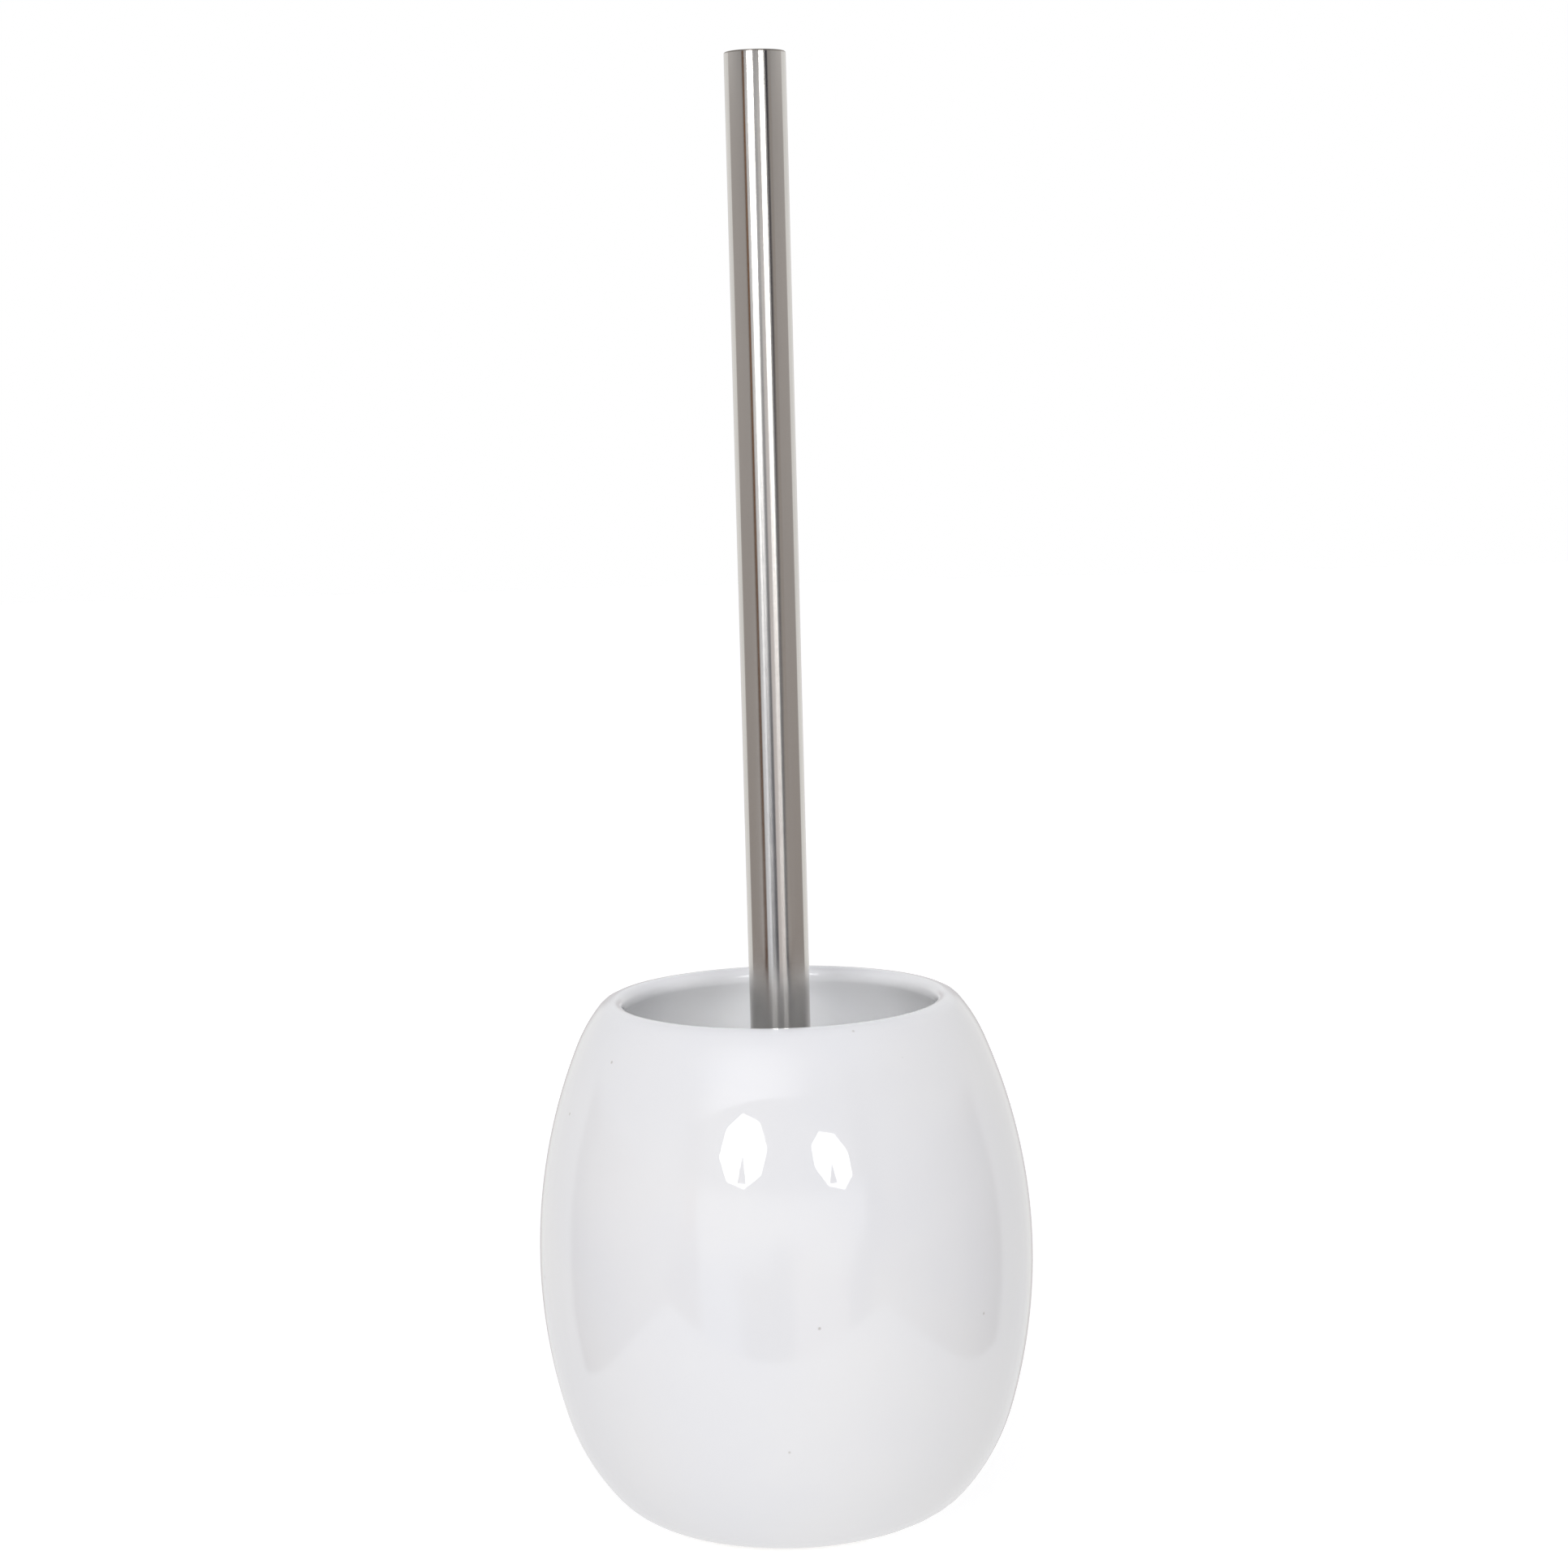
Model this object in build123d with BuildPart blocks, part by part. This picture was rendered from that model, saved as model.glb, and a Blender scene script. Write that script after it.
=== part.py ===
from build123d import *
from math import atan2, cos, degrees, radians, sin
import os

# A toilet brush in its holder: a bellied glazed pot, and in it a brush with a steel tube handle
# that screws into a replaceable head. Millimetres and degrees. The origin is on the surface
# that the pot stands on, on the one axis that the pot, the handle and the head share.

# Pot, from the foot up
pad_proud = 0.6  # how far the foot pads lift the pot
foot_radius = 32.7  # edge of the flat base
wall = 6.0
wall_arcs = [  # radius and turn of each tangent arc, foot to lip, half a turn in all
    (20.7, 49.3),
    (56.8, 24.3),
    (146.0, 39.4),
    (40.7, 16.7),
    (5.1, 50.3),
]
recess_radius = 26.0  # unglazed hollow inside the foot ring
recess_depth = 1.4
foot_edge = 0.5  # rounding of the foot ring's inner edge

# Foot pads
pad_count = 4
pad_radius = 5.0
pad_circle = 18.5

# Handle
handle_radius = 8.0
tube_wall = 0.8
tube_top = 385.5
tube_rounding = 0.45  # outer edge of the tube's closed top
cap_thickness = 3.0
cap_sunk = 0.15  # how far the cap lies below the tube's end
press_gap = 0.02  # radial gap of pieces that are pressed or bonded together
seat_depth = cap_thickness + cap_sunk
seat_step = 0.3  # ledge that the cap rests on

# Plug, stud and washer, between the tube and the brush head
plug_flange = 3.0
plug_length = 24.0  # part inside the tube
plug_rib = 0.3  # depth of the grip grooves around the plug
stud_radius = 4.95  # M10 thread, over its crests
stud_in_plug = 18.0
stud_reach = 12.0  # below the washer, into the head
washer_thickness = 1.6
washer_radius = 8.6
thread_gap = 0.08

# Brush head
core_radius = 12.5
neck_radius = 8.6
collar_radius = 11.0
collar_height = 5.0
neck_height = 9.5  # between the collar and the tufted length
socket_depth = 14.0
flute_count = 12  # finger flutes around the collar
flute_radius = 1.6

# Tufts
tuft_radius = 1.4  # at the root
tuft_spread = 2.6  # at the tip
tuft_seat = 4.6  # depth of a tuft's hole
seat_gap = 0.05
bristle_reach = 36.0  # from the axis to the tips
ring_count = 8
ring_pitch = 6.6
tufts_per_ring = 12
end_reach = 32.5  # from the dome's centre to the end of the lowest tuft
end_rings = {  # angle below level, number of tufts, reach from the dome's centre
    "shoulder": (25, 12, 35.0),
    "low": (55, 8, 32.8),
}
anchor_height = 1.2
anchor_thickness = 0.35

# Heights along the axis, from the pot's floor up, where the lowest tuft stands
dome_centre = pad_proud + wall + end_reach
tufted_top = dome_centre + ring_count * ring_pitch + tuft_radius
core_top = tufted_top + neck_height + collar_height
flange_bottom = core_top + washer_thickness
tube_bottom = flange_bottom + plug_flange

os.makedirs("parts", exist_ok=True)


def write(part, name):
    part.label = name
    export_step(part, f"parts/{name}.step")


# The pot's wall is a chain of tangent arcs, and the cavity is the same chain one wall thickness in.
# The lip is a rounded nose that runs from the highest point inwards to meet the cavity's last arc.
with BuildPart() as holder_pot:
    with BuildSketch(Plane.XZ) as section:
        with BuildLine() as outline:
            point = Vector(foot_radius, pad_proud)
            heading = Vector(1, 0)
            outer = []
            for radius, turn in wall_arcs:
                arc = JernArc(point, heading, radius, turn)
                outer.append(arc)
                point = arc @ 1
                heading = arc % 1
            shoulder_centre = outer[3].arc_center
            shoulder_inner = wall_arcs[3][0] - wall
            lip = point
            # A circle through the lip's highest point that touches the shoulder's inner circle
            across = lip.X - shoulder_centre.X
            up = lip.Y - shoulder_centre.Y
            nose_radius = (across**2 + up**2 - shoulder_inner**2) / (2 * (up + shoulder_inner))
            nose_angle = degrees(atan2(up - nose_radius, across))
            nose = JernArc(lip, Vector(-1, 0), nose_radius, 90 + nose_angle)
            belly_end = sum(turn for radius, turn in wall_arcs[:3]) - 90
            inner_arcs = [(shoulder_inner, nose_angle - belly_end)]
            for radius, turn in reversed(wall_arcs[:3]):
                inner_arcs.append((radius - wall, turn))
            point = nose @ 1
            heading = nose % 1
            for radius, turn in inner_arcs:
                arc = JernArc(point, heading, radius, -turn)
                point = arc @ 1
                heading = arc % 1
            Polyline(
                point,
                (0, pad_proud + wall),
                (0, pad_proud + recess_depth),
                (recess_radius, pad_proud + recess_depth),
                (recess_radius, pad_proud),
                (foot_radius, pad_proud),
            )
        make_face()
    revolve(axis=Axis.Z)
    fillet(holder_pot.edges().group_by(Axis.Z)[0].sort_by(SortBy.RADIUS)[0], foot_edge)
write(holder_pot.part, "holder_pot")

with BuildPart() as foot_pads:
    with BuildSketch(Plane.XY) as pad_sketch:
        with PolarLocations(pad_circle, pad_count, start_angle=45):
            Circle(pad_radius)
    extrude(amount=pad_proud + recess_depth)
    chamfer(foot_pads.edges().group_by(Axis.Z)[0], pad_proud / 2)
write(foot_pads.part, "foot_pads")

# The handle is a plain tube. A disc closes its top on a small ledge, and its edge is rounded.
bore_radius = handle_radius - tube_wall
with BuildPart() as handle_tube:
    with BuildSketch(Plane.XY.offset(tube_bottom)) as tube_section:
        Circle(handle_radius)
        Circle(bore_radius, mode=Mode.SUBTRACT)
    extrude(amount=tube_top - tube_bottom)
    with BuildSketch(Plane.XY.offset(tube_top)) as seat_section:
        Circle(bore_radius + seat_step)
    extrude(amount=-seat_depth, mode=Mode.SUBTRACT)
    rim = handle_tube.edges().group_by(Axis.Z)[-1].sort_by(SortBy.RADIUS)[-1]
    fillet(rim, tube_rounding)
write(handle_tube.part, "handle_tube")

with BuildPart() as handle_top_cap:
    with BuildSketch(Plane.XY.offset(tube_top - seat_depth)) as cap_section:
        Circle(bore_radius + seat_step - press_gap)
    extrude(amount=cap_thickness)
    chamfer(handle_top_cap.edges().group_by(Axis.Z)[-1], cap_sunk)
write(handle_top_cap.part, "handle_top_cap")

# The plug fills the tube's lower end, its flange flush with the tube, and holds the stud.
with BuildPart() as handle_end_plug:
    with BuildSketch(Plane.XY.offset(flange_bottom)) as flange_section:
        Circle(handle_radius)
    extrude(amount=plug_flange)
    with BuildSketch(Plane.XY.offset(tube_bottom)) as plug_section:
        Circle(bore_radius - press_gap)
    extrude(amount=plug_length)
    chamfer(handle_end_plug.edges().group_by(Axis.Z)[-1], plug_rib * 2)
    for share in (0.3, 0.5, 0.7):
        with BuildSketch(Plane.XY.offset(tube_bottom + share * plug_length)) as groove_section:
            Circle(handle_radius)
            Circle(bore_radius - press_gap - plug_rib, mode=Mode.SUBTRACT)
        extrude(amount=plug_rib * 4, mode=Mode.SUBTRACT)
    fillet(handle_end_plug.edges().group_by(Axis.Z)[0], plug_rib)
    with BuildSketch(Plane.XY.offset(flange_bottom)) as stud_hole:
        Circle(stud_radius + press_gap)
    extrude(amount=stud_in_plug, mode=Mode.SUBTRACT)
write(handle_end_plug.part, "handle_end_plug")

with BuildPart() as handle_stud:
    with BuildSketch(Plane.XY.offset(core_top - stud_reach)) as stud_section:
        Circle(stud_radius)
    extrude(amount=stud_reach + washer_thickness + stud_in_plug)
    chamfer(handle_stud.edges().group_by(Axis.Z)[0], stud_radius / 5)
write(handle_stud.part, "handle_stud")

with BuildPart() as seal_washer:
    with BuildSketch(Plane.XY.offset(core_top)) as washer_section:
        Circle(washer_radius)
        Circle(stud_radius + thread_gap, mode=Mode.SUBTRACT)
    extrude(amount=washer_thickness)
    fillet(seal_washer.edges().filter_by(GeomType.CIRCLE).group_by(SortBy.RADIUS)[-1], 0.4)
write(seal_washer.part, "seal_washer")

# The head's core is a turned shape: a domed tufted length, a neck, and a fluted collar with the socket.
collar_bottom = core_top - collar_height
with BuildPart() as brush_core:
    with BuildSketch(Plane.XZ) as core_section:
        with BuildLine() as core_outline:
            dome = CenterArc((0, dome_centre), core_radius, -90, 90)
            Polyline(
                dome @ 1,
                (core_radius, tufted_top),
                (neck_radius, tufted_top + core_radius - neck_radius),
                (neck_radius, collar_bottom - collar_radius + neck_radius),
                (collar_radius, collar_bottom),
                (collar_radius, core_top),
                (0, core_top),
                dome @ 0,
            )
        make_face()
    revolve(axis=Axis.Z)
    turned_edges = brush_core.edges().filter_by(GeomType.CIRCLE)
    fillet(turned_edges.filter_by(lambda edge: edge.center().Z > tufted_top - 1), 0.8)
    with BuildSketch(Plane.XY.offset(core_top)) as flute_section:
        with PolarLocations(collar_radius + flute_radius / 2, flute_count):
            Circle(flute_radius)
    extrude(amount=-collar_height - collar_radius + neck_radius, mode=Mode.SUBTRACT)
    with BuildSketch(Plane.XY.offset(core_top)) as socket_section:
        Circle(stud_radius + thread_gap)
    extrude(amount=-socket_depth, mode=Mode.SUBTRACT)


def tuft_planes(centre_height, level, count, phase):
    """Planes at the core's surface, one for each tuft of a ring, facing along the tufts."""
    planes = []
    for number in range(count):
        around = radians(phase + 360 * number / count)
        out = Vector(cos(around), sin(around), 0)
        along = out * cos(radians(level)) - Vector(0, 0, 1) * sin(radians(level))
        side = Vector(-sin(around), cos(around), 0)
        surface = Vector(0, 0, centre_height) + along * core_radius
        planes.append(Plane(origin=surface, x_dir=side, z_dir=along))
    return planes


# Straight rings, each turned half a tuft from the one below, then the splayed tufts of the dome
first_ring = dome_centre + ring_pitch / 2
rings = {}
for number in range(ring_count):
    height = first_ring + number * ring_pitch
    half_turn = 180 / tufts_per_ring * (number % 2)
    planes = tuft_planes(height, 0, tufts_per_ring, half_turn)
    rings[f"ring_{number + 1:02d}"] = (planes, bristle_reach)
for name, (level, count, reach) in end_rings.items():
    planes = tuft_planes(dome_centre, level, count, 180 / count)
    rings[f"ring_{name}"] = (planes, reach)
rings["tip"] = (tuft_planes(dome_centre, 90, 1, 0), end_reach)

for name, (planes, reach) in rings.items():
    with BuildPart() as tufts:
        for plane in planes:
            with BuildSketch(plane.offset(anchor_height - tuft_seat)) as root:
                Circle(tuft_radius)
            extrude(amount=tuft_seat - anchor_height)
            with BuildSketch(plane) as waist:
                Circle(tuft_radius)
            with BuildSketch(plane.offset(reach - core_radius)) as tip:
                Circle(tuft_spread)
            loft()
    write(tufts.part, f"bristle_{name}")
    with BuildPart() as anchors:
        for plane in planes:
            with BuildSketch(plane.offset(-tuft_seat)) as wire:
                Rectangle(2 * tuft_radius - 2 * seat_gap, anchor_thickness)
            extrude(amount=anchor_height)
    write(anchors.part, f"tuft_anchors_{name}")
    with BuildPart() as drills:
        for plane in planes:
            with BuildSketch(plane.offset(-tuft_seat)) as drill:
                Circle(tuft_radius + seat_gap)
            extrude(amount=tuft_seat + tuft_radius)
    brush_core.part -= drills.part
write(brush_core.part, "brush_core")
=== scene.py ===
import math
import random

import bpy
from mathutils import Matrix, Vector


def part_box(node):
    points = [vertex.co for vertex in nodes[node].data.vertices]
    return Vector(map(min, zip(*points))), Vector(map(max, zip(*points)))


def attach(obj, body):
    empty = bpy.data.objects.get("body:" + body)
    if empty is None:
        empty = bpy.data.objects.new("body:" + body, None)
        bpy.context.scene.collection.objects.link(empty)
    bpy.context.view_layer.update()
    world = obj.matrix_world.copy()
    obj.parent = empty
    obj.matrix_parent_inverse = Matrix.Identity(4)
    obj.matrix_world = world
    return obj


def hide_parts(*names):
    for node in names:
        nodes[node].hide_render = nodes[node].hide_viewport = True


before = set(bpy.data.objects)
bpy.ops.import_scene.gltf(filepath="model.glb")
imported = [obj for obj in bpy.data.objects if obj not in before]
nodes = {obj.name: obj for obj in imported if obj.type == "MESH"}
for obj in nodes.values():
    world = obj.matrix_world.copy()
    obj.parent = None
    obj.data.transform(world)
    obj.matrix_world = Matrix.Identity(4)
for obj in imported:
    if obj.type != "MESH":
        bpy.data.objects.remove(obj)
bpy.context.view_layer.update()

# Toilet brush in a glazed pot. Metres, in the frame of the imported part.
potLow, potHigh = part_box("holder_pot")
tubeLow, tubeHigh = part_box("handle_tube")


def pickNone():
    bpy.ops.object.select_all(action="DESELECT")
    bpy.context.view_layer.objects.active = None


def pickOnly(piece):
    pickNone()
    piece.select_set(True)
    bpy.context.view_layer.objects.active = piece


def settle(piece, smoothAngle):
    # the piece's place goes into its mesh, and its faces are shaded smooth up to an angle
    pickOnly(piece)
    bpy.ops.object.transform_apply(location=True, rotation=True, scale=True)
    bpy.ops.object.shade_smooth_by_angle(angle=math.radians(smoothAngle))
    return piece


def followArcs(start, heading, arcs, stepLength):
    # points along a chain of tangent arcs, each a radius and a turn in degrees, left turns positive
    points = []
    across, up = start
    for radius, turn in arcs:
        side = math.copysign(1, turn)
        centre = (across - side * radius * math.sin(heading), up + side * radius * math.cos(heading))
        steps = max(3, math.ceil(radius * math.radians(abs(turn)) / stepLength))
        for step in range(1, steps + 1):
            angle = heading + math.radians(turn) * step / steps
            across = centre[0] + side * radius * math.sin(angle)
            up = centre[1] - side * radius * math.cos(angle)
            points.append((across, up))
        heading += math.radians(turn)
    return points


ringWeld = 0.000002


def drawRings(name, sides, profile, closed=False):
    # a ring is extruded and resized from one point of the profile to the next
    pickNone()
    radius, height = profile[0]
    bpy.ops.mesh.primitive_circle_add(vertices=sides, radius=radius, location=(0, 0, height))
    piece = bpy.context.object
    piece.name = piece.data.name = name
    bpy.ops.object.mode_set(mode="EDIT")
    bpy.ops.mesh.select_all(action="SELECT")
    for nextRadius, nextHeight in profile[1:]:
        rise = {"value": (0, 0, nextHeight - height)}
        bpy.ops.mesh.extrude_edges_move(TRANSFORM_OT_translate=rise)
        share = nextRadius / radius
        bpy.ops.transform.resize(value=(share, share, 1), center_override=(0, 0, nextHeight))
        radius, height = nextRadius, nextHeight
    bpy.ops.mesh.select_all(action="SELECT")
    bpy.ops.mesh.remove_doubles(threshold=ringWeld)
    if not closed:
        bpy.ops.mesh.select_all(action="SELECT")
        bpy.ops.mesh.fill_holes(sides=0)
    bpy.ops.mesh.select_all(action="SELECT")
    bpy.ops.mesh.normals_make_consistent(inside=False)
    bpy.ops.object.mode_set(mode="OBJECT")
    return piece


def waver(piece, size, depth):
    # a slight hand-made unevenness, pushed along the normals
    cloud = bpy.data.textures.new(piece.name + "Cloud", "CLOUDS")
    cloud.noise_scale = size
    cloud.noise_depth = 1
    pickOnly(piece)
    bpy.ops.object.modifier_add(type="DISPLACE")
    push = piece.modifiers[-1]
    push.texture = cloud
    push.texture_coords = "LOCAL"
    push.strength = depth
    push.mid_level = 0.5
    bpy.ops.object.modifier_apply(modifier=push.name)


def standFor(piece, material, body, slot, *replaced):
    piece.data.materials.clear()
    piece.data.materials.append(material)
    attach(piece, body)
    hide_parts(*replaced)


class Number:
    # a socket that holds one number, and adds a Math node when it is worked with
    def __init__(self, board, socket):
        self.board = board
        self.socket = socket

    def __add__(self, other):
        return self.board.maths("ADD", self, other)

    def __radd__(self, other):
        return self.board.maths("ADD", other, self)

    def __sub__(self, other):
        return self.board.maths("SUBTRACT", self, other)

    def __rsub__(self, other):
        return self.board.maths("SUBTRACT", other, self)

    def __mul__(self, other):
        return self.board.maths("MULTIPLY", self, other)

    def __truediv__(self, other):
        return self.board.maths("DIVIDE", self, other)

    def __pow__(self, other):
        return self.board.maths("POWER", self, other)

    def __gt__(self, other):
        return self.board.maths("GREATER_THAN", self, other)


class Board:
    # a node tree and the few ways in which nodes are added to it
    def __init__(self, tree):
        self.tree = tree

    def add(self, kind, settings=None, sockets=None):
        node = self.tree.nodes.new(kind)
        for key, value in (settings or {}).items():
            if key == "stops":
                self.setStops(node.color_ramp, value)
            else:
                setattr(node, key, value)
        for key, value in (sockets or {}).items():
            self.plug(value, node.inputs[key])
        return node

    def setStops(self, ramp, stops):
        while len(ramp.elements) < len(stops):
            ramp.elements.new(1.0)
        for element, (place, colour) in zip(ramp.elements, stops):
            element.position = place
            element.color = (*colour, 1)

    def plug(self, value, socket):
        if isinstance(value, Number):
            value = value.socket
        if isinstance(value, bpy.types.NodeSocket):
            self.tree.links.new(value, socket)
        else:
            socket.default_value = value

    def maths(self, operation, *values, clamp=False):
        node = self.add("ShaderNodeMath", {"operation": operation, "use_clamp": clamp})
        for value, socket in zip(values, node.inputs):
            self.plug(value, socket)
        return Number(self, node.outputs[0])

    def share(self, value, low, high):
        # 0 at low, 1 at high, and no further
        return self.maths("MULTIPLY", value - low, 1 / (high - low), clamp=True)

    def mix(self, factor, first, second, blend="MIX"):
        node = self.add("ShaderNodeMix", {"data_type": "RGBA", "blend_type": blend})
        self.plug(factor, node.inputs[0])
        self.plug(first, node.inputs[6])
        self.plug(second, node.inputs[7])
        return node.outputs[2]

    def facing(self, direction, target):
        # how nearly a direction points at the target: 1 straight at it, 0 square to it
        return direction[0] * target[0] + direction[1] * target[1] + direction[2] * target[2]

    def axes(self, vector):
        parts = self.add("ShaderNodeSeparateXYZ", sockets={0: vector})
        return [Number(self, parts.outputs[name]) for name in "XYZ"]


class Finish(Board):
    # a material with one Principled shader, patterned on Object coordinates
    def __init__(self, name, **constants):
        self.material = bpy.data.materials.new(name)
        self.material.use_nodes = True
        super().__init__(self.material.node_tree)
        self.shader = self.tree.nodes["Principled BSDF"]
        for key, value in constants.items():
            self.shader.inputs[key.replace("_", " ")].default_value = value
        self.place = self.add("ShaderNodeTexCoord").outputs["Object"]

    def stretched(self, scale):
        return self.add("ShaderNodeMapping", sockets={"Vector": self.place, "Scale": scale}).outputs[0]

    def noise(self, scale, detail, roughness=0.5, stretch=None):
        where = self.stretched(stretch) if stretch else self.place
        values = {"Vector": where, "Scale": scale, "Detail": detail, "Roughness": roughness}
        return Number(self, self.add("ShaderNodeTexNoise", sockets=values).outputs[0])

    def cells(self, scale):
        # distance to the nearest point, and that point's own random number
        node = self.add("ShaderNodeTexVoronoi", sockets={"Vector": self.place, "Scale": scale})
        lot = self.axes(node.outputs["Color"])[0]
        return Number(self, node.outputs["Distance"]), lot

    def bump(self, height, distance, strength, below=None):
        values = {"Height": height, "Distance": distance, "Strength": strength}
        if below:
            values["Normal"] = below
        return self.add("ShaderNodeBump", sockets=values).outputs[0]

    def wear(self, **sockets):
        for key, value in sockets.items():
            self.plug(value, self.shader.inputs[key.replace("_", " ")])


def whiteGlaze():
    # thick white glaze with a faint drift of tone, a few pinholes, and the bare body under the foot
    make = Finish("whiteGlaze", IOR=1.5, Coat_IOR=1.5, Coat_Roughness=0.01)
    drift = make.noise(18, 3)
    cloud = make.noise(55, 2)
    glaze = make.mix(make.share(drift, 0.35, 0.65), (0.895, 0.902, 0.925, 1), (0.92, 0.922, 0.93, 1))
    glaze = make.mix(make.share(cloud, 0.45, 0.75) * 0.25, glaze, (0.935, 0.936, 0.94, 1))
    distance, lot = make.cells(95)
    speck = (1 - make.share(distance, 0.015, 0.05)) * (lot > 0.7)
    glaze = make.mix(speck * 0.55, glaze, (0.42, 0.38, 0.33, 1))
    height = make.axes(make.place)[2]
    bare = 1 - make.share(height + (make.noise(420, 3) - 0.5) * 0.0006, 0.00085, 0.00105)
    grog = make.noise(2600, 3)
    body = make.mix(make.share(grog, 0.35, 0.7), (0.66, 0.62, 0.56, 1), (0.78, 0.75, 0.7, 1))
    smear = make.noise(38, 4, 0.6, (1, 1, 0.6))
    peel = make.bump(make.noise(230, 2), 0.00002, 0.25)
    dimple = make.bump(0 - speck, 0.0002, 0.5, peel)
    grain = make.bump(grog * bare, 0.00008, 0.6, dimple)
    make.wear(
        Base_Color=make.mix(bare, glaze, body),
        Roughness=0.03 + make.share(smear, 0.4, 0.8) * 0.03 + bare * 0.6,
        Coat_Weight=(1 - bare) * 0.25,
        Normal=grain,
    )
    return make.material


def brushedSteel():
    # stainless tube polished on a lathe: fine marks run around it and draw reflections out along it
    make = Finish("brushedSteel", Metallic=1.0, Anisotropic=1.0, Anisotropic_Rotation=0.25)
    up = make.axes(make.place)[2]
    rings = make.noise(1.0, 3, 0.65, (160, 160, 5200))
    handled = make.noise(34, 4, 0.6)
    pits = make.noise(1.0, 2, 0.6, (1500, 1500, 2400))
    steel = make.mix(make.share(handled, 0.45, 0.8) * 0.5, (0.64, 0.62, 0.595, 1), (0.57, 0.55, 0.53, 1))
    steel = make.mix(make.share(pits, 0.62, 0.8) * 0.25, steel, (0.42, 0.4, 0.38, 1))
    corner = make.share(up, tubeHigh.z - 0.0005, tubeHigh.z - 0.0003)  # painted shade: a dark band round the rounded top edge of the tube, under the cap, also made rougher
    make.wear(
        Base_Color=make.mix(corner, steel, (0.3, 0.27, 0.24, 1)),
        Roughness=0.13 + rings * 0.05 + make.share(handled, 0.5, 0.8) * 0.04 + corner * 0.2,
        Normal=make.bump(rings * 0.7 + pits * 0.5, 0.000005, 0.5),
    )
    return make.material


def turnedSteel(name):
    make = Finish(name, Metallic=1.0)
    oily = make.noise(240, 4, 0.6)
    marks = make.noise(1.0, 3, 0.65, (900, 900, 9000))
    make.wear(
        Base_Color=make.mix(make.share(oily, 0.4, 0.75), (0.62, 0.61, 0.59, 1), (0.5, 0.49, 0.47, 1)),
        Roughness=0.18 + marks * 0.12 + make.share(oily, 0.5, 0.8) * 0.1,
        Normal=make.bump(marks, 0.000005, 0.5),
    )
    return make.material


def turnedFace():
    # the closed end of the tube, faced on a lathe: rings of tool marks about the middle
    make = Finish("turnedFace", Metallic=1.0)
    across, deep = make.axes(make.place)[:2]
    reach = (across * across + deep * deep) ** 0.5
    drift = make.noise(500, 2) * 2.5
    fine = make.maths("SINE", reach * 24000 + drift)
    broad = make.maths("SINE", reach * 5500 + drift)
    stain = make.noise(420, 3)
    face = make.mix(make.share(stain, 0.4, 0.75) * 0.4, (0.64, 0.62, 0.595, 1), (0.5, 0.48, 0.46, 1))
    make.wear(
        Base_Color=make.mix(make.share(broad, -0.4, 1) * 0.4, face, (0.44, 0.42, 0.4, 1)),
        Roughness=0.2 + make.share(stain, 0.4, 0.8) * 0.12 + broad * 0.03,
        Normal=make.bump(fine * 0.4 + broad, 0.000006, 0.6),
    )
    return make.material


def moulded(name, light, dark, rough):
    # moulded plastic: a faint flow pattern, a fine satin grain and rubbed patches
    make = Finish(name, IOR=1.47)
    flow = make.noise(60, 3, 0.5, (1, 1, 0.3))
    grain = make.noise(3200, 2)
    rubbed = make.noise(240, 3)
    make.wear(
        Base_Color=make.mix(make.share(flow, 0.35, 0.7), (*dark, 1), (*light, 1)),
        Roughness=rough + (grain - 0.5) * 0.12 - make.share(rubbed, 0.5, 0.8) * 0.08,
        Normal=make.bump(grain, 0.00001, 0.5),
    )
    return make.material


def softRubber(name, light, dark):
    make = Finish(name, IOR=1.5)
    dust = make.noise(900, 4, 0.6)
    grain = make.noise(4200, 2)
    make.wear(
        Base_Color=make.mix(make.share(dust, 0.4, 0.75), (*dark, 1), (*light, 1)),
        Roughness=0.6 + dust * 0.25,
        Normal=make.bump(grain, 0.00002, 0.5),
    )
    return make.material


def nylonFilament():
    # clear white filament: brighter and duller hairs side by side, a little greyer at the roots
    make = Finish("nylonFilament", IOR=1.53, Subsurface_Weight=0.2, Subsurface_Scale=0.001)
    hair = make.noise(2600, 2)
    streak = make.noise(700, 2)
    across, deep = make.axes(make.place)[:2]
    reach = (across * across + deep * deep) ** 0.5
    outward = make.share(reach, 0.012, 0.034)
    pale = make.mix(make.share(hair, 0.35, 0.65), (0.8, 0.805, 0.8, 1), (0.9, 0.9, 0.89, 1))
    root = make.mix(make.share(streak, 0.3, 0.7), (0.62, 0.63, 0.62, 1), (0.74, 0.74, 0.73, 1))
    make.wear(
        Base_Color=make.mix(outward * 0.8 + 0.2, root, pale),
        Roughness=0.28 + hair * 0.2,
        Normal=make.bump(hair, 0.00001, 0.3),
    )
    return make.material


potShape = {
    "sides": 288,
    "wall": 0.006,
    "footRadius": 0.0327,
    "wallArcs": [(0.0207, 49.3), (0.0568, 24.3), (0.146, 39.4), (0.0407, 16.7), (0.0051, 50.3)],
    "recessRadius": 0.026,
    "recessDepth": 0.0014,
    "edge": 0.0005,
    "middleRings": (0.004, 0.012),
    "floorRing": 0.022,
    "step": 0.0024,
    "lipStep": 0.0006,
    "unevenness": 0.00016,
    "unevenSize": 0.045,
}


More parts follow.
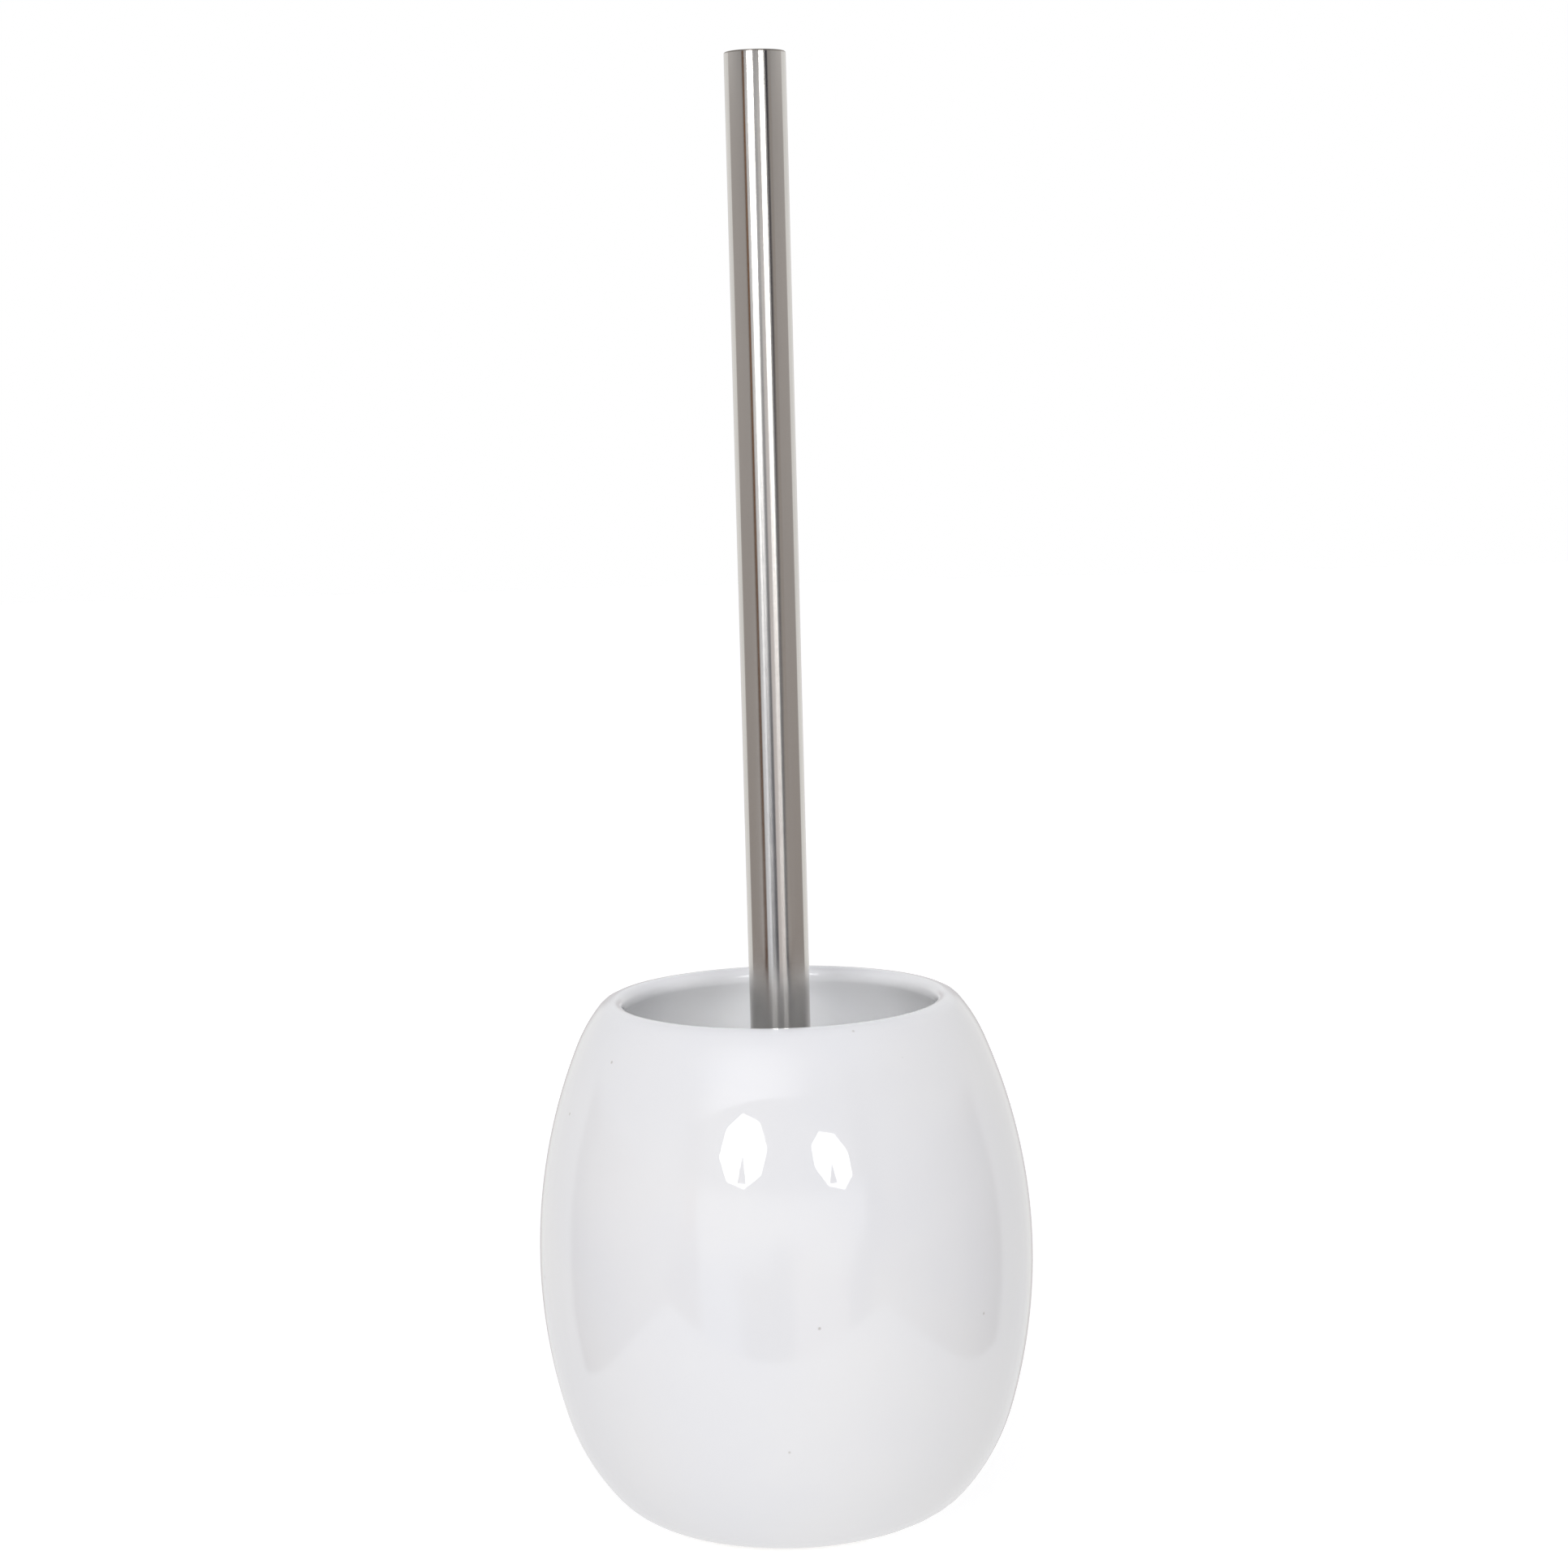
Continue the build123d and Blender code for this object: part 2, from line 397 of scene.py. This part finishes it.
def makePot():
    base = potLow.z
    wall = potShape["wall"]
    arcs = potShape["wallArcs"]
    recess = base + potShape["recessDepth"]
    rim = potShape["recessRadius"]
    edge = potShape["edge"]
    foot = potShape["footRadius"]
    near, far = potShape["middleRings"]
    profile = [(near, recess), (far, recess), (rim - edge, recess), (rim, recess)]
    profile += [(rim, base + edge), (rim + 0.3 * edge, base + 0.3 * edge), (rim + edge, base)]
    profile += [(foot - edge, base), (foot, base)]
    outside = followArcs((foot, base), 0.0, arcs, potShape["step"])
    profile += outside
    # the rounded nose of the lip touches the inner circle of the shoulder
    lipRadius, lipHeight = outside[-1]
    heading = math.radians(sum(turn for radius, turn in arcs[:3]))
    start = followArcs((foot, base), 0.0, arcs[:3], potShape["step"])[-1]
    shoulder = arcs[3][0]
    centre = (start[0] - shoulder * math.sin(heading), start[1] + shoulder * math.cos(heading))
    across, up = lipRadius - centre[0], lipHeight - centre[1]
    inner = shoulder - wall
    nose = (across**2 + up**2 - inner**2) / (2 * (up + inner))
    noseAngle = math.degrees(math.atan2(up - nose, across))
    profile += followArcs((lipRadius, lipHeight), math.pi, [(nose, 90 + noseAngle)], potShape["lipStep"])
    inward = [(inner, -(noseAngle - (math.degrees(heading) - 90)))]
    inward += [(radius - wall, -turn) for radius, turn in reversed(arcs[:3])]
    profile += followArcs(profile[-1], math.radians(270 + noseAngle), inward, potShape["step"])
    floor = base + wall
    profile += [(potShape["floorRing"], floor), (far, floor), (near, floor)]
    pot = drawRings("ceramicPot", potShape["sides"], profile)
    waver(pot, potShape["unevenSize"], potShape["unevenness"])
    settle(pot, smoothAngle=50)
    standFor(pot, whiteGlaze(), "holder", "white_glaze", "holder_pot")
    print("pot made")


tubeShape = {
    "sides": 160,
    "wall": 0.0008,
    "rounding": 0.00045,
    "roundingSteps": 5,
    "ease": 0.00015,
    "stretches": 12,
    "seatStep": 0.0003,
    "seatDepth": 0.00315,
    "seatEase": 0.00005,
}


def makeTube():
    outer = tubeHigh.x
    bore = outer - tubeShape["wall"]
    seat = bore + tubeShape["seatStep"]
    top = tubeHigh.z
    bottom = tubeLow.z
    rounding = tubeShape["rounding"]
    ease = tubeShape["ease"]
    profile = [(bore, bottom + ease), (bore + ease, bottom), (outer - ease, bottom), (outer, bottom + ease)]
    stretches = tubeShape["stretches"]
    for step in range(1, stretches):
        profile.append((outer, bottom + (top - bottom) * step / stretches))
    profile.append((outer, top - rounding))
    stepLength = rounding / tubeShape["roundingSteps"]
    profile += followArcs((outer, top - rounding), math.pi / 2, [(rounding, 90)], stepLength)
    seatEase = tubeShape["seatEase"]
    shelf = top - tubeShape["seatDepth"]
    profile += [(seat + seatEase, top), (seat, top - seatEase), (seat, shelf)]
    profile += [(bore, shelf), (bore, bottom + ease)]
    tube = drawRings("steelTube", tubeShape["sides"], profile, closed=True)
    settle(tube, smoothAngle=35)
    standFor(tube, brushedSteel(), "handle", "brushed_tube", "handle_tube")
    print("tube made")


capShape = {"sides": 128, "middle": 0.002, "bevel": 0.00015, "crown": 0.0001, "rings": 9}


def makeCap():
    low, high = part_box("handle_top_cap")
    reach = high.x
    bevel = capShape["bevel"]
    crown = capShape["crown"]
    rings = capShape["rings"]
    profile = [(capShape["middle"], low.z), (reach - bevel, low.z), (reach, low.z + bevel)]
    profile += [(reach, high.z - bevel - crown), (reach - bevel, high.z - crown)]
    for step in range(1, rings):
        share = 1 - step / rings
        profile.append((reach * share, high.z - crown * share**2))
    cap = drawRings("turnedCap", capShape["sides"], profile)
    settle(cap, smoothAngle=35)
    standFor(cap, turnedFace(), "handle", "brushed_tube", "handle_top_cap")
    print("cap made")


threadShape = {
    "pitch": 0.0015,
    "depth": 0.00092,
    "flat": 0.00019,
    "sides": 48,
    "weld": 0.00002,
    "topChamfer": 0.0003,
    "middle": 0.001,
}


def makeStud():
    # one tooth of the thread is drawn, swept up a helix, and trimmed to the stud's turned outline
    low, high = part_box("handle_stud")
    crest = high.x
    pitch = threadShape["pitch"]
    root = crest - threadShape["depth"]
    flat = threadShape["flat"]
    turns = math.ceil((high.z - low.z) / pitch) + 3
    pickNone()
    start = low.z - 1.5 * pitch
    bpy.ops.mesh.primitive_plane_add(size=0.001, location=(root, 0, start))
    stud = bpy.context.object
    stud.name = stud.data.name = "threadedStud"
    bpy.ops.object.transform_apply(location=True, rotation=True, scale=True)
    bpy.ops.object.mode_set(mode="EDIT")
    bpy.ops.mesh.select_all(action="SELECT")
    bpy.ops.mesh.merge(type="CENTER")
    slope = (pitch - 2 * flat) / 2
    moves = [(threadShape["depth"], slope), (0, flat), (-threadShape["depth"], slope), (0, flat)]
    for out, rise in moves:
        bpy.ops.mesh.extrude_vertices_move(TRANSFORM_OT_translate={"value": (out, 0, rise)})
    bpy.ops.object.mode_set(mode="OBJECT")
    bpy.ops.object.modifier_add(type="SCREW")
    screw = stud.modifiers[-1]
    screw.axis = "Z"
    screw.angle = math.tau
    screw.screw_offset = pitch
    screw.iterations = turns
    screw.steps = screw.render_steps = threadShape["sides"]
    screw.use_merge_vertices = True
    screw.merge_threshold = threadShape["weld"]
    bpy.ops.object.modifier_apply(modifier=screw.name)
    bpy.ops.object.mode_set(mode="EDIT")
    bpy.ops.mesh.select_all(action="SELECT")
    bpy.ops.mesh.remove_doubles(threshold=threadShape["weld"])
    for height, up in ((low.z - 0.2 * pitch, -1), (high.z + 0.2 * pitch, 1)):
        bpy.ops.mesh.select_all(action="SELECT")
        bpy.ops.mesh.bisect(
            plane_co=(0, 0, height), plane_no=(0, 0, up), use_fill=True, clear_outer=True
        )
    bpy.ops.mesh.select_all(action="SELECT")
    bpy.ops.mesh.normals_make_consistent(inside=False)
    bpy.ops.object.mode_set(mode="OBJECT")
    chamfer = crest / 5
    small = threadShape["topChamfer"]
    over = crest + threadShape["weld"]  # just outside the crests, which stay uncut along the shank
    middle = threadShape["middle"]
    outline = [(middle, low.z), (crest - chamfer, low.z), (over, low.z + chamfer)]
    outline += [(over, high.z - small), (crest - small, high.z), (middle, high.z)]
    blank = drawRings("studBlank", threadShape["sides"] * 2, outline)
    pickOnly(stud)
    bpy.ops.object.modifier_add(type="BOOLEAN")
    trim = stud.modifiers[-1]
    trim.operation = "INTERSECT"
    trim.solver = "EXACT"
    trim.object = blank
    bpy.ops.object.modifier_apply(modifier=trim.name)
    bpy.data.objects.remove(blank)
    settle(stud, smoothAngle=30)
    standFor(stud, turnedSteel("studSteel"), "handle", "stud_steel", "handle_stud")
    print("stud made")


tuftShape = {
    "filaments": 56,
    "thickness": 0.0004,
    "sides": 5,
    "variants": 4,
    "endVariants": 2,
    "hole": 0.0014,
    "sunk": 0.0034,
    "spiralTurn": 2.39996,
    "aroundSpread": 0.0062,
    "alongSpread": 0.0036,
    "stray": (0.0004, 0.0003),
    "uneven": (-0.0004, 0.0001),
    "bow": 0.0005,
    "rise": 0.0002,
    "bends": (0.2, 0.45, 0.75, 1.0),
    "fan": 1.15,
    "endTaper": 0.7,
    "perRing": 12,
}
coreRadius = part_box("brush_core")[1].x
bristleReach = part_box("bristle_ring_01")[1].x
ringHeights = [sum(corner.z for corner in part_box(f"bristle_ring_0{n}")) / 2 for n in range(1, 9)]
ringPitch = ringHeights[1] - ringHeights[0]
domeCentre = ringHeights[0] - ringPitch / 2
endRings = {
    "ring_shoulder": {"level": 25, "tufts": 12, "reach": 0.035},
    "ring_low": {"level": 55, "tufts": 8, "reach": 0.0328},
}


def drawTuft(name, reach, seed):
    # filaments leave the hole side by side, then fan out and bend a little to their trimmed ends
    rng = random.Random(seed)
    pickNone()
    half = tuftShape["thickness"] / 2
    bpy.ops.mesh.primitive_circle_add(vertices=tuftShape["sides"], radius=half, fill_type="NGON")
    tuft = bpy.context.object
    tuft.name = tuft.data.name = name
    bpy.ops.object.mode_set(mode="EDIT")
    bpy.ops.mesh.select_all(action="SELECT")
    bpy.ops.mesh.delete(type="VERT")
    count = tuftShape["filaments"]
    for number in range(count):
        spiral = math.sqrt((number + 0.5) / count)
        turn = number * tuftShape["spiralTurn"]
        rootX = math.cos(turn) * spiral * (tuftShape["hole"] - half)
        rootY = math.sin(turn) * spiral * (tuftShape["hole"] - half)
        tipX = math.cos(turn) * spiral * tuftShape["aroundSpread"] + rng.gauss(0, tuftShape["stray"][0])
        tipY = math.sin(turn) * spiral * tuftShape["alongSpread"] + rng.gauss(0, tuftShape["stray"][1])
        trimmed = math.sqrt((coreRadius + reach) ** 2 - tipX**2) - coreRadius
        trimmed += rng.uniform(*tuftShape["uneven"])
        bow = rng.gauss(0, tuftShape["bow"]), rng.gauss(0, tuftShape["bow"])
        rise = tuftShape["rise"]
        path = [Vector((rootX, rootY, -tuftShape["sunk"])), Vector((rootX, rootY, rise))]
        for share in tuftShape["bends"]:
            fan = share ** tuftShape["fan"]
            swing = math.sin(math.pi * share)
            x = rootX + (tipX - rootX) * fan + bow[0] * swing
            y = rootY + (tipY - rootY) * fan + bow[1] * swing
            path.append(Vector((x, y, rise + (trimmed - rise) * share)))
        bpy.ops.mesh.select_all(action="DESELECT")
        bpy.ops.mesh.primitive_circle_add(
            vertices=tuftShape["sides"], radius=half, fill_type="NGON", location=path[0]
        )
        for before, after in zip(path, path[1:]):
            bpy.ops.mesh.extrude_region_move(TRANSFORM_OT_translate={"value": tuple(after - before)})
        taper = tuftShape["endTaper"]
        bpy.ops.transform.resize(value=(taper, taper, 1), center_override=tuple(path[-1]))
    bpy.ops.mesh.select_all(action="SELECT")
    bpy.ops.mesh.normals_make_consistent(inside=False)
    bpy.ops.object.mode_set(mode="OBJECT")
    return settle(tuft, smoothAngle=60)


def tuftPlace(centreHeight, level, around):
    # where a tuft leaves the core: its own Z points outward, and below level by an angle
    out = Vector((math.cos(around), math.sin(around), 0))
    along = out * math.cos(level) - Vector((0, 0, 1)) * math.sin(level)
    side = Vector((-math.sin(around), math.cos(around), 0))
    up = along.cross(side)
    origin = Vector((0, 0, centreHeight)) + along * coreRadius
    return Matrix([(side[n], up[n], along[n], origin[n]) for n in range(3)] + [(0, 0, 0, 1)])


def plantRing(name, tufts, places, seed, material):
    # a copy of one of the tufts is put at each place, now and then turned half round
    rng = random.Random(seed)
    copies = []
    for place in places:
        copy = rng.choice(tufts).copy()
        copy.data = copy.data.copy()
        flip = rng.choice((0.0, math.pi))
        copy.data.transform(place @ Matrix.Rotation(flip, 4, "Z"))
        bpy.context.scene.collection.objects.link(copy)
        copies.append(copy)
    pickNone()
    for copy in copies:
        copy.select_set(True)
    bpy.context.view_layer.objects.active = copies[0]
    if len(copies) > 1:
        bpy.ops.object.join()
    ring = copies[0]
    ring.name = ring.data.name = name + "Bristles"
    standFor(ring, material, "brush_head", "bristle_nylon", "bristle_" + name)


def makeBristles():
    material = nylonFilament()
    reaches = {"straight": bristleReach - coreRadius}
    for name, end in endRings.items():
        reaches[name] = end["reach"] - coreRadius
    reaches["tip"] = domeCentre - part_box("bristle_tip")[0].z - coreRadius
    kinds = {}
    for kind, reach in reaches.items():
        variants = tuftShape["variants" if kind == "straight" else "endVariants"]
        kinds[kind] = [drawTuft(f"{kind}Tuft{n}", reach, 10 * len(kinds) + n) for n in range(variants)]
    perRing = tuftShape["perRing"]
    for number, height in enumerate(ringHeights):
        turn = math.pi / perRing * (number % 2)  # every second ring stands in the gaps of the first
        places = [tuftPlace(height, 0, turn + math.tau * n / perRing) for n in range(perRing)]
        plantRing(f"ring_0{number + 1}", kinds["straight"], places, 100 + number, material)
    for name, end in endRings.items():
        level = math.radians(end["level"])
        count = end["tufts"]
        places = [tuftPlace(domeCentre, level, math.tau * (n + 0.5) / count) for n in range(count)]
        plantRing(name, kinds[name], places, 200 + count, material)
    plantRing("tip", kinds["tip"][:1], [tuftPlace(domeCentre, math.pi / 2, 0)], 300, material)
    for tufts in kinds.values():
        for tuft in tufts:
            bpy.data.objects.remove(tuft)
    print("bristles made")


def finishNodes():
    # the head, plug, washer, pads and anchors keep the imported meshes
    headPlastic = moulded("headPlastic", (0.84, 0.84, 0.825), (0.8, 0.8, 0.785), 0.34)
    plugPlastic = moulded("plugPlastic", (0.05, 0.05, 0.052), (0.032, 0.032, 0.034), 0.42)
    padRubber = softRubber("padRubber", (0.6, 0.6, 0.58), (0.45, 0.45, 0.43))
    washerRubber = softRubber("washerRubber", (0.07, 0.07, 0.07), (0.035, 0.035, 0.035))
    anchorWire = turnedSteel("anchorWire")
    finishes = {
        "brush_core": headPlastic,
        "handle_end_plug": plugPlastic,
        "foot_pads": padRubber,
        "seal_washer": washerRubber,
    }
    for name, node in nodes.items():
        material = anchorWire if name.startswith("tuft_anchors") else finishes.get(name)
        if material:
            node.data.materials.clear()
            node.data.materials.append(material)
    print("inner pieces finished")


studio = {
    "distance": 0.850,
    "height": 0.3013,
    "pitch": 6.22,
    "yaw": 0.20,
    "roll": -1.5,
    "lens": 74.59,
    "sensor": 36.0,
    "shiftUp": -0.0316,
}


def placeCamera():
    pitch, yaw, roll = (math.radians(studio[key]) for key in ("pitch", "yaw", "roll"))
    forward = Vector((math.sin(yaw) * math.cos(pitch), math.cos(yaw) * math.cos(pitch), -math.sin(pitch)))
    level = forward.cross(Vector((0, 0, 1))).normalized()
    upright = level.cross(forward)
    right = level * math.cos(roll) + upright * math.sin(roll)
    up = upright * math.cos(roll) - level * math.sin(roll)
    pickNone()
    bpy.ops.object.camera_add(location=(0, -studio["distance"], studio["height"]))
    camera = bpy.context.object
    turned = Matrix([(right[n], up[n], -forward[n]) for n in range(3)]).to_4x4()
    camera.matrix_world = Matrix.Translation(camera.location) @ turned
    camera.data.lens = studio["lens"]
    camera.data.sensor_width = studio["sensor"]
    camera.data.shift_y = studio["shiftUp"]
    camera.data.clip_start = 0.01
    bpy.context.scene.camera = camera
    print("camera placed")


roomColours = {
    "taupe": (0.46, 0.43, 0.412),
    "dusk": (0.36, 0.325, 0.305),
    "rust": (0.3, 0.13, 0.04),
    "edge": (0.92, 0.915, 0.9),
    "panel": (0.95, 0.95, 0.95),
    "shaded": (0.66, 0.7, 0.78),
    "brown": (0.1, 0.045, 0.02),
    "umber": (0.38, 0.34, 0.31),
    "navy": (0.01, 0.008, 0.025),
    "slate": (0.05, 0.055, 0.08),
    "rose": (0.72, 0.66, 0.65),
    "ash": (0.6, 0.57, 0.57),
    "clear": (1.0, 1.0, 1.0),
}
# what stands around the tube, by compass angle from the front: above, level and below, then its dark posts
roomBands = [
    "-180 ash -169 ash -160 edge -121 edge -116 taupe -54 taupe -50 umber -47 rust -43 rust"
    " -41 panel 37 panel 39 navy 46 navy 49 umber 58 umber"
    " 62 taupe 113 taupe 118 edge 160 edge 169 ash 180 ash",
    "-180 ash -169 ash -160 edge -121 edge -116 taupe -53 taupe -50 brown -41 brown -39 panel"
    " -28 panel -26 shaded -8 shaded -5 slate 0 slate 2 rose 11 rose 14 panel 31 panel 33 navy"
    " 41 navy 43 umber 57 umber 60 taupe 115 taupe 119 edge 160 edge 169 ash 180 ash",
    "-180 ash -169 ash -160 edge -120 edge -115 dusk -57 dusk -54 brown -41 brown -39 shaded"
    " -23 shaded -20 slate -17 navy 1 navy 4 rose 27 rose 29 navy 37 navy 40 umber 58 dusk"
    " 115 dusk 120 edge 160 edge 169 ash 180 ash",
    "-180 clear -53 clear -50 brown -42 brown -39 clear 35 clear 38 navy 45 navy 48 clear 180 clear",
]


def compassVector(angle, rise):
    turn, lift = math.radians(angle), math.radians(rise)
    return Vector((math.sin(turn) * math.cos(lift), -math.cos(turn) * math.cos(lift), math.sin(lift)))


room = {
    "lowToLevel": (-0.16, -0.05),
    "levelToAbove": (-0.06, 0.04),
    "aboveToWalls": (0.14, 0.2),
    "wallsToCeiling": (0.5, 0.75),
    "wallsFrontToBack": (-0.85, 0.4),
    "frontWall": (0.22, 0.222, 0.23, 1),
    "backWall": (0.86, 0.86, 0.86, 1),
    "ceiling": (0.62, 0.62, 0.64, 1),
    "glow": {"angle": -20, "rise": 38, "spread": (0.86, 0.99), "colour": (1.7, 1.7, 1.78, 1)},
    "screen": [(-38, 25), (10, 30), (27, 42)],
    "screenEdge": 0.008,
    "table": {"low": 0.24, "high": 0.25, "colour": (0.9, 0.9, 0.905, 1)},
    "bows": {"middle": 0.483, "count": 1.8, "depth": 0.19},
}


def paintSurroundings():
    # a plain room, dark in front and light at the back, as the steel and the glaze see it
    world = bpy.data.worlds.new("softStudio")
    bpy.context.scene.world = world
    world.use_nodes = True
    board = Board(world.node_tree)
    background = world.node_tree.nodes["Background"]
    across, deep, up = board.axes(board.add("ShaderNodeTexCoord").outputs["Generated"])
    compass = board.maths("ARCTAN2", across, 0 - deep) / math.tau + 0.5
    bands = []
    for band in roomBands:
        words = band.split()
        stops = []
        for angle, name in zip(words[::2], words[1::2]):
            stops.append((int(angle) / 360 + 0.5, roomColours[name]))
        bands.append(board.add("ShaderNodeValToRGB", {"stops": stops}, {0: compass}).outputs[0])
    above, level, below, posts = bands
    around = board.mix(board.share(up, *room["lowToLevel"]), below, level)
    around = board.mix(board.share(up, *room["levelToAbove"]), around, above)
    backward = board.share(deep, *room["wallsFrontToBack"])
    walls = board.mix(backward, room["frontWall"], room["backWall"])
    walls = board.mix(1.0, posts, walls, "MULTIPLY")
    around = board.mix(board.share(up, *room["aboveToWalls"]), around, walls)
    around = board.mix(board.share(up, *room["wallsToCeiling"]), around, room["ceiling"])
    # light thrown up behind the left lamp, cut off below and to the right by the edge of a screen
    light = room["glow"]
    middle = compassVector(light["angle"], light["rise"])
    glow = board.share(board.facing((across, deep, up), middle), *light["spread"])
    for first, second in zip(room["screen"], room["screen"][1:]):
        edge = compassVector(*first).cross(compassVector(*second)).normalized()
        glow = glow * board.share(board.facing((across, deep, up), edge), 0, room["screenEdge"])
    around = board.mix(glow, around, light["colour"])
    # the light table below, its edge in three shallow bows
    bows = room["bows"]
    wave = board.maths("COSINE", (compass - bows["middle"]) * (bows["count"] * math.tau))
    bow = board.maths("ABSOLUTE", wave)
    table = board.share(0 - up - bow * bows["depth"], room["table"]["low"], room["table"]["high"])
    around = board.mix(table, around, room["table"]["colour"])
    seen = board.add("ShaderNodeLightPath").outputs["Is Camera Ray"]
    board.plug(board.mix(seen, around, (1, 1, 1, 1)), background.inputs["Color"])
    print("room painted")


tableTop = {"size": 8, "glow": 0.62, "dark": (0.5, 0.5, 0.5, 1), "light": (0.54, 0.54, 0.54, 1)}


def layFloor():
    # a pale light table: its own glow keeps the shadow around the pot faint
    pickNone()
    bpy.ops.mesh.primitive_plane_add(size=tableTop["size"], location=(0, 0, 0))
    floor = bpy.context.object
    floor.name = "paleFloor"
    pale = Finish("palePaper", Emission_Strength=tableTop["glow"], Emission_Color=(1, 1, 1, 1))
    fibre = pale.noise(300, 3)
    pale.wear(
        Base_Color=pale.mix(fibre, tableTop["dark"], tableTop["light"]),
        Roughness=0.7 + fibre * 0.1,
    )
    floor.data.materials.append(pale.material)
    floor.visible_glossy = floor.visible_diffuse = False
    print("floor laid")


lamps = {
    "reach": 1.6,
    "target": (0, 0, 0.1),
    "power": 7.5,
    "lampSides": 8,
    "standSides": 3,
    "faces": {
        "leftLamp": {"angle": -20, "rise": 18.5, "width": 0.64, "tall": 0.46, "lean": 8},
        "rightLamp": {"angle": 23, "rise": 16, "width": 0.56, "tall": 0.33, "lean": -24},
    },
    "stand": {"nearer": 0.02, "lower": 0.3, "width": 0.2, "tall": 0.5},
    "soft": {"place": (-0.1, -0.1, 1.6), "size": 1.1, "energy": 0.3},
    "snoot": {"place": (0, 0, 1.4), "size": 0.01, "energy": 18, "spread": 0.033, "blend": 0.2},
    "fill": {"place": (0.001, 0.014, 0.114), "size": 0.012, "energy": 0.0043},
}


def hangPanel(name, sides, place, width, tall, lean, material):
    # a flat panel, turned to face the pot
    pickNone()
    bpy.ops.mesh.primitive_circle_add(vertices=sides, radius=0.5, fill_type="NGON")
    panel = bpy.context.object
    panel.name = name
    turned = (Vector(lamps["target"]) - place).to_track_quat("-Z", "Y").to_matrix().to_4x4()
    panel.matrix_world = (
        Matrix.Translation(place) @ turned
        @ Matrix.Rotation(math.radians(lean), 4, "Z") @ Matrix.Diagonal((width, tall, 1, 1))
    )
    bpy.ops.object.transform_apply(location=True, rotation=True, scale=True)
    panel.data.materials.append(material)
    panel.visible_camera = False


def hangLamps():
    # two eight-sided lamps in front, each with its dark stand, and a broad soft light over the pot
    stand = lamps["stand"]
    for name, face in lamps["faces"].items():
        direction = compassVector(face["angle"], face["rise"])
        glow = Finish(name + "Glow", Emission_Strength=lamps["power"], Emission_Color=(1, 1, 1, 1))
        dark = Finish(name + "Stand", Roughness=0.9, Base_Color=(0.02, 0.02, 0.02, 1))
        place = Vector(lamps["target"]) + direction * lamps["reach"]
        hangPanel(name, lamps["lampSides"], place, face["width"], face["tall"], face["lean"], glow.material)
        place = Vector(lamps["target"]) + direction * (lamps["reach"] - stand["nearer"])
        place.z -= stand["lower"] * face["tall"]
        width, tall = stand["width"] * face["width"], stand["tall"] * face["tall"]
        hangPanel(name + "Stand", lamps["standSides"], place, width, tall, 0, dark.material)
    pickNone()
    bpy.ops.object.light_add(type="AREA", location=lamps["soft"]["place"])
    soft = bpy.context.object
    soft.name = "overheadSoft"
    soft.data.shape = "DISK"
    soft.data.size = lamps["soft"]["size"]
    soft.data.energy = lamps["soft"]["energy"]
    soft.rotation_euler = (Vector(lamps["target"]) - soft.location).to_track_quat("-Z", "Y").to_euler()
    soft.visible_camera = soft.visible_glossy = False
    # a narrow lamp straight above shines into the pot's mouth
    pickNone()
    bpy.ops.object.light_add(type="SPOT", location=lamps["snoot"]["place"])
    snoot = bpy.context.object
    snoot.name = "mouthSnoot"
    snoot.data.energy = lamps["snoot"]["energy"]
    throw = snoot.location.z - potHigh.z
    snoot.data.spot_size = 2 * math.atan(lamps["snoot"]["spread"] / throw)
    snoot.data.spot_blend = lamps["snoot"]["blend"]
    snoot.data.shadow_soft_size = lamps["snoot"]["size"]
    snoot.visible_glossy = False
    # and a very weak one behind the tube lightens the far wall under the lip
    pickNone()
    toTheBack = (math.pi / 2, 0, 0)
    bpy.ops.object.light_add(type="AREA", location=lamps["fill"]["place"], rotation=toTheBack)
    fill = bpy.context.object
    fill.name = "mouthFill"
    fill.data.shape = "DISK"
    fill.data.size = lamps["fill"]["size"]
    fill.data.energy = lamps["fill"]["energy"]
    fill.visible_camera = fill.visible_glossy = False
    print("lamps hung")


bpy.context.scene.view_settings.view_transform = "Standard"
bpy.context.scene.cycles.diffuse_bounces = 16  # light goes round many times inside the pot
placeCamera()
paintSurroundings()
layFloor()
hangLamps()
makePot()
makeTube()
makeCap()
makeStud()
makeBristles()
finishNodes()
print("object is finished")
